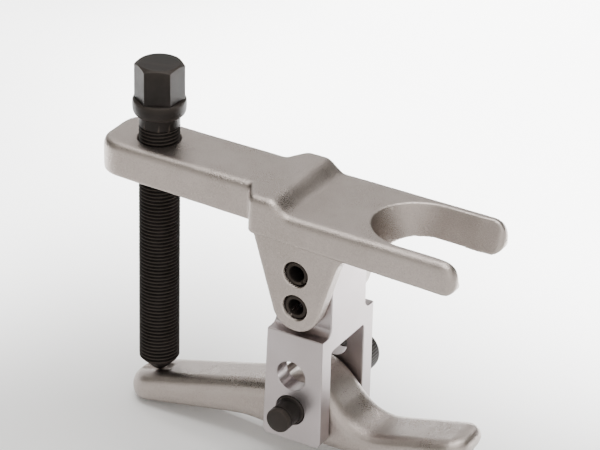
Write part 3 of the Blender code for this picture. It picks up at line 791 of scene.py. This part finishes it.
def make_lever():
    """The lever: its plan cut by its side profile, bevelled, forged, and then given its trough and bore."""
    top = flowing([(x * MM, z * MM) for x, z in LEVER_TOP], LEVER_STRAIGHT)
    bottom = flowing([(x * MM, z * MM) for x, z in LEVER_BOTTOM])
    start, end = LEVER_WIDENS_X
    rear, steps = [], 32
    for step in range(steps + 1):
        angle = math.pi / 2 + math.pi * step / steps
        rear.append((LEVER_REAR_RADIUS * math.cos(angle), LEVER_REAR_RADIUS * math.sin(angle), 0))
    front = [(LEVER_TIP_X, -LEVER_HALF, LEVER_TIP_CORNER), (LEVER_TIP_X, LEVER_HALF, LEVER_TIP_CORNER)]
    plan = rear + [(start, -LEVER_REAR_RADIUS, 0), (end, -LEVER_HALF, 0), *front]
    plan += [(end, LEVER_HALF, 0), (start, LEVER_REAR_RADIUS, 0)]
    lever = prism("lever_forging", rounded(plan, 24), -130 * MM, -60 * MM, "Z")
    carve(lever, prism("profile", top + bottom, -20 * MM, 20 * MM, "Y"), "INTERSECT", "EXACT")
    bevelled(lever, LEVER_EDGE, 3, 50)
    forged(lever, LEVER_VOXEL, LEVER_PASSES)
    carve(lever, make_trough())
    soften = lever.modifiers.new("soft", "SMOOTH")
    soften.factor = 0.5
    soften.iterations = LEVER_LAST_PASSES
    settle(lever)
    height = PIVOT_HEIGHTS["lower"]
    carve(lever, cross_drill(BORE_RADIUS, PIVOT_X, height, 20 * MM, 0.5 * MM, LEVER_HALF))
    return shaded(lever, 50)


def make_trough():
    """A round-ended trough along the lever's rear arm, in which the spindle's ball runs."""
    (x0, z0), (x1, z1) = LEVER_TOP[0], LEVER_TOP[1]
    slope = (z1 - z0) / (x1 - x0)
    steps = 16
    rings = []
    for end, turn in ((TROUGH_ENDS[0], -1), (TROUGH_ENDS[1], 1)):
        for step in range(1, steps + 1) if turn < 0 else range(steps, 0, -1):
            angle = math.pi / 2 * step / steps
            rings.append((end + turn * TROUGH_RADIUS * math.cos(angle), TROUGH_RADIUS * math.sin(angle)))
    sides = 64
    centre = TROUGH_FLOOR + TROUGH_RADIUS * math.hypot(1, slope)
    loops = []
    for x, radius in rings:
        angles = [math.tau * i / sides for i in range(sides)]
        loops.append([(x, radius * math.cos(a), centre + slope * x + radius * math.sin(a)) for a in angles])
    return loft("trough", loops)


# Materials


class Nodes:
    """Builds one material's nodes."""

    def __init__(self, name):
        self.material = bpy.data.materials.new(name)
        self.material.use_nodes = True
        self.tree = self.material.node_tree
        self.shader = self.tree.nodes["Principled BSDF"]
        self.coordinates = self.add("ShaderNodeTexCoord").outputs["Object"]

    def add(self, kind, **values):
        node = self.tree.nodes.new(kind)
        for key, value in values.items():
            setattr(node, key, value)
        return node

    def link(self, source, target):
        self.tree.links.new(source, target)

    def noise(self, scale, detail=2.0, roughness=0.5, stretch=(1, 1, 1)):
        """Noise of about 1 / scale metres, stretched along the axes."""
        mapping = self.add("ShaderNodeMapping")
        mapping.inputs["Scale"].default_value = stretch
        self.link(self.coordinates, mapping.inputs["Vector"])
        texture = self.add("ShaderNodeTexNoise")
        texture.inputs["Scale"].default_value = scale
        texture.inputs["Detail"].default_value = detail
        texture.inputs["Roughness"].default_value = roughness
        self.link(mapping.outputs["Vector"], texture.inputs["Vector"])
        return texture.outputs["Fac"]

    def spread(self, source, low, high, from_low=0.0, from_high=1.0):
        """Maps a value's range to low and high."""
        node = self.add("ShaderNodeMapRange")
        node.inputs["From Min"].default_value = from_low
        node.inputs["From Max"].default_value = from_high
        node.inputs["To Min"].default_value = low
        node.inputs["To Max"].default_value = high
        self.link(source, node.inputs["Value"])
        return node.outputs["Result"]

    def blend(self, factor, low, high):
        """Mixes two colours, each a triple or a socket."""
        node = self.add("ShaderNodeMix", data_type="RGBA")
        self.link(factor, node.inputs[0])
        for socket, value in ((node.inputs[6], low), (node.inputs[7], high)):
            if isinstance(value, tuple):
                socket.default_value = (*value, 1.0)
            else:
                self.link(value, socket)
        return node.outputs[2]

    def math(self, operation, first, second):
        node = self.add("ShaderNodeMath", operation=operation)
        for socket, value in zip(node.inputs, (first, second)):
            if isinstance(value, (int, float)):
                socket.default_value = value
            else:
                self.link(value, socket)
        return node.outputs["Value"]

    def bump(self, height, distance, strength=1.0, under=None):
        node = self.add("ShaderNodeBump")
        node.inputs["Distance"].default_value = distance
        node.inputs["Strength"].default_value = strength
        self.link(height, node.inputs["Height"])
        if under:
            self.link(under, node.inputs["Normal"])
        return node.outputs["Normal"]

    def edges(self, low=0.50, high=0.56):
        """Near 1 on worn convex edges, and 0 on flats."""
        geometry = self.add("ShaderNodeNewGeometry")
        return self.spread(geometry.outputs["Pointiness"], 0.0, 1.0, low, high)

    def finish(self, color, roughness, normal, metallic=1.0):
        self.link(color, self.shader.inputs["Base Color"])
        self.link(roughness, self.shader.inputs["Roughness"])
        self.link(normal, self.shader.inputs["Normal"])
        self.shader.inputs["Metallic"].default_value = metallic
        return self.material


def forged_steel():
    """Satin plating over a tumbled forging: fine grain, faint clouds and rubbed edges."""
    n = Nodes("forged_steel")
    cloud = n.noise(55, 3)
    grain = n.noise(2600, 2, 0.6)
    base = n.blend(n.spread(cloud, 0, 1, 0.3, 0.7), (0.382, 0.334, 0.306), (0.45, 0.397, 0.37))
    base = n.blend(n.spread(grain, 0, 0.45, 0.35, 0.75), base, (0.275, 0.236, 0.212))
    speckle = n.noise(1300, 2, 0.6)
    base = n.blend(n.spread(speckle, 0, 0.35, 0.45, 0.7), base, (0.31, 0.27, 0.245))
    base = n.blend(n.edges(), base, (0.53, 0.475, 0.435))
    rough = n.math("ADD", n.spread(grain, 0.25, 0.35, 0.3, 0.7), n.spread(cloud, -0.03, 0.05, 0.3, 0.7))
    pits = n.bump(speckle, 0.00014, 0.6)
    normal = n.bump(grain, 0.00014, 0.8, pits)
    return n.finish(base, rough, normal)


def machined_steel():
    """Satin plating over milled faces: long faint tool lines."""
    n = Nodes("machined_steel")
    cloud = n.noise(45, 2)
    lines = n.noise(90, 3, 0.6, (1, 1, 40))
    grain = n.noise(3200, 2, 0.6)
    base = n.blend(n.spread(cloud, 0, 1, 0.3, 0.7), (0.415, 0.374, 0.374), (0.475, 0.43, 0.437))
    base = n.blend(n.spread(grain, 0, 0.25, 0.4, 0.75), base, (0.36, 0.325, 0.32))
    rough = n.math("ADD", n.spread(grain, 0.30, 0.40, 0.3, 0.7), n.spread(lines, -0.03, 0.04, 0.3, 0.7))
    tool = n.bump(lines, 0.00003, 0.5)
    normal = n.bump(grain, 0.00003, 0.4, tool)
    return n.finish(base, rough, normal)


def black_oxide(name="black_oxide", shine=0.15):
    """Oxide-blackened steel, a little oily, with brown, rubbed edges."""
    n = Nodes(name)
    cloud = n.noise(160, 3)
    grain = n.noise(3500, 2, 0.6)
    base = n.blend(n.spread(cloud, 0, 1, 0.3, 0.7), (0.009, 0.008, 0.007), (0.018, 0.015, 0.014))
    base = n.blend(n.edges(0.51, 0.60), base, (0.055, 0.045, 0.038))
    rough = n.math("ADD", n.spread(grain, 0.36, 0.48, 0.3, 0.7), n.spread(cloud, -0.04, 0.06, 0.3, 0.7))
    normal = n.bump(grain, 0.00003, 0.5)
    # shine sets the sheen. The spring pins' copy has a lower one, as painted shade.
    n.shader.inputs["Specular IOR Level"].default_value = shine
    n.shader.inputs["Specular Tint"].default_value = (1.0, 0.91, 0.88, 1.0)
    return n.finish(base, rough, normal, metallic=0.0)


def bearing_steel():
    """Ground and polished balls, and drawn spring wire."""
    n = Nodes("bearing_steel")
    cloud = n.noise(700, 2)
    base = n.blend(cloud, (0.66, 0.65, 0.63), (0.76, 0.75, 0.73))
    rough = n.spread(cloud, 0.12, 0.2, 0.3, 0.7)
    normal = n.bump(n.noise(4000, 2), 0.00001, 0.3)
    return n.finish(base, rough, normal)


# Set


def floor_material():
    n = Nodes("paper")
    base = n.blend(n.noise(3, 2), (0.90, 0.90, 0.90), (0.92, 0.92, 0.92))
    n.link(base, n.shader.inputs["Base Color"])
    n.shader.inputs["Roughness"].default_value = 0.9
    return n.material


def make_floor(height):
    half = FLOOR_HALF
    shape = bmesh.new()
    corners = [(-half, -half), (half, -half), (half, half), (-half, half)]
    shape.faces.new([shape.verts.new((x, y, 0)) for x, y in corners])
    floor = from_shape("floor", shape)
    floor.location.z = height
    floor.data.materials.append(floor_material())


def hang(name, lamp, place, aim):
    """Puts a lamp at a place, shining at aim."""
    light = add_object(name, lamp)
    light.location = place
    light.rotation_euler = (Vector(aim) - Vector(place)).to_track_quat("-Z", "Y").to_euler()


def make_softbox():
    lamp = bpy.data.lights.new("overhead", "AREA")
    lamp.shape = "RECTANGLE"
    lamp.size = lamp.size_y = SOFTBOX_SIDE
    lamp.energy = SOFTBOX_POWER
    hang("overhead", lamp, SOFTBOX_PLACE, SOFTBOX_AIM)


def make_wash(name, place, middle, cone, power, floor):
    """A spot that lights a round patch of the floor."""
    lamp = bpy.data.lights.new(name, "SPOT")
    lamp.shadow_soft_size = WASH_RADIUS
    lamp.spot_size = math.radians(cone)
    lamp.spot_blend = WASH_BLEND
    lamp.energy = power
    hang(name, lamp, place, (*middle, floor))


def make_world():
    """The surroundings that the steel mirrors: tones along WORLD_AXIS, and one tone overhead."""
    world = bpy.data.worlds.new("studio")
    world.use_nodes = True
    bpy.context.scene.world = world
    tree = world.node_tree
    background = tree.nodes["Background"]
    coordinates = tree.nodes.new("ShaderNodeTexCoord")
    toward = tree.nodes.new("ShaderNodeVectorMath")
    toward.operation = "DOT_PRODUCT"
    toward.inputs[1].default_value = Vector(WORLD_AXIS).normalized()
    ramp = tree.nodes.new("ShaderNodeValToRGB")
    share = tree.nodes.new("ShaderNodeMapRange")
    share.inputs["From Min"].default_value = -1.0
    tree.links.new(coordinates.outputs["Generated"], toward.inputs[0])
    tree.links.new(toward.outputs["Value"], share.inputs["Value"])
    tree.links.new(share.outputs["Result"], ramp.inputs["Fac"])
    split = tree.nodes.new("ShaderNodeSeparateXYZ")
    tree.links.new(coordinates.outputs["Generated"], split.inputs["Vector"])
    height = tree.nodes.new("ShaderNodeMapRange")
    height.inputs["From Min"].default_value = OVERHEAD_FROM
    height.inputs["From Max"].default_value = OVERHEAD_TO
    tree.links.new(split.outputs["Z"], height.inputs["Value"])
    mix = tree.nodes.new("ShaderNodeMix")
    mix.data_type = "RGBA"
    mix.inputs[7].default_value = (*WORLD_OVERHEAD, 1)
    tree.links.new(height.outputs["Result"], mix.inputs[0])
    tree.links.new(ramp.outputs["Color"], mix.inputs[6])
    tree.links.new(mix.outputs[2], background.inputs["Color"])
    points = ramp.color_ramp.elements
    while len(points) < len(WORLD_LEVELS):
        points.new(0.5)
    for point, (place, color) in zip(points, WORLD_LEVELS):
        point.position = place
        point.color = (*color, 1)
    background.inputs["Strength"].default_value = 1.0


def make_camera():
    lens = bpy.data.cameras.new("camera")
    lens.lens = CAMERA_LENS
    lens.sensor_width = 36
    lens.clip_end = 20
    a, e = CAMERA_AZIMUTH, CAMERA_ELEVATION
    back = Vector((math.sin(a) * math.cos(e), -math.cos(a) * math.cos(e), math.sin(e)))
    right = Vector((math.cos(a), math.sin(a), 0))
    up = back.cross(right)
    turn = Matrix((right, up, back)).transposed() @ Matrix.Rotation(CAMERA_ROLL, 3, "Z")
    camera = add_object("camera", lens)
    camera.matrix_world = Matrix.Translation(CAMERA_AT) @ turn.to_4x4()
    bpy.context.scene.camera = camera


# Assembly


def place(piece, material, body, node, slot):
    """Moves a finished piece down to the datum, and lets it stand for its CAD node."""
    piece.data.transform(Matrix.Translation((0, 0, DATUM)))
    piece.data.materials.clear()
    piece.data.materials.append(material)
    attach(piece, body)
    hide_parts(node)


def main():
    forged_skin, machined = forged_steel(), machined_steel()
    # The spring pins get a copy of the black oxide with less sheen, so they read darker: painted shade for
    # the recesses that they sit in.
    black, pin_recess_shade, bright = black_oxide(), black_oxide("pin_recess_shade_oxide", 0.05), bearing_steel()
    place(make_arm(), forged_skin, "frame", "fork_arm", "forged_steel")
    place(make_yoke(), machined, "frame", "yoke", "machined_steel")
    for node in SPRING_PIN_TURNS:
        # Painted shade: the spring pins wear the darker, less shiny copy of the black oxide.
        place(make_spring_pin(node), pin_recess_shade, "frame", node, "black_oxide")
    place(make_spindle(), black, "spindle", "forcing_spindle", "black_oxide")
    thrust = make_ball("thrust_ball_ground", BALL_RADIUS, (0, 0, BALL_Z))
    place(thrust, bright, "thrust", "thrust_ball", "bearing_steel")
    place(make_lever(), forged_skin, "lever", "lever", "forged_steel")
    place(make_pivot_pin(), black, "pivot_pin", "pivot_pin", "black_oxide")
    coil = make_spring()
    place(coil, bright, "pivot_pin", "detent_spring", "bearing_steel")
    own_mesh(coil)
    rest = (PIVOT_X, DETENT_Y, PIVOT_HEIGHTS["lower"] - DETENT_DROP)
    detent = make_ball("detent_ball_ground", DETENT_RADIUS, rest)
    place(detent, bright, "detent_ball", "detent_ball", "bearing_steel")

    floor = CAD_BOX[0].z
    make_floor(floor)
    make_world()
    make_softbox()
    for name, where, middle, cone, power in WASHES:
        make_wash(name, where, middle, cone, power, floor)
    make_camera()


main()
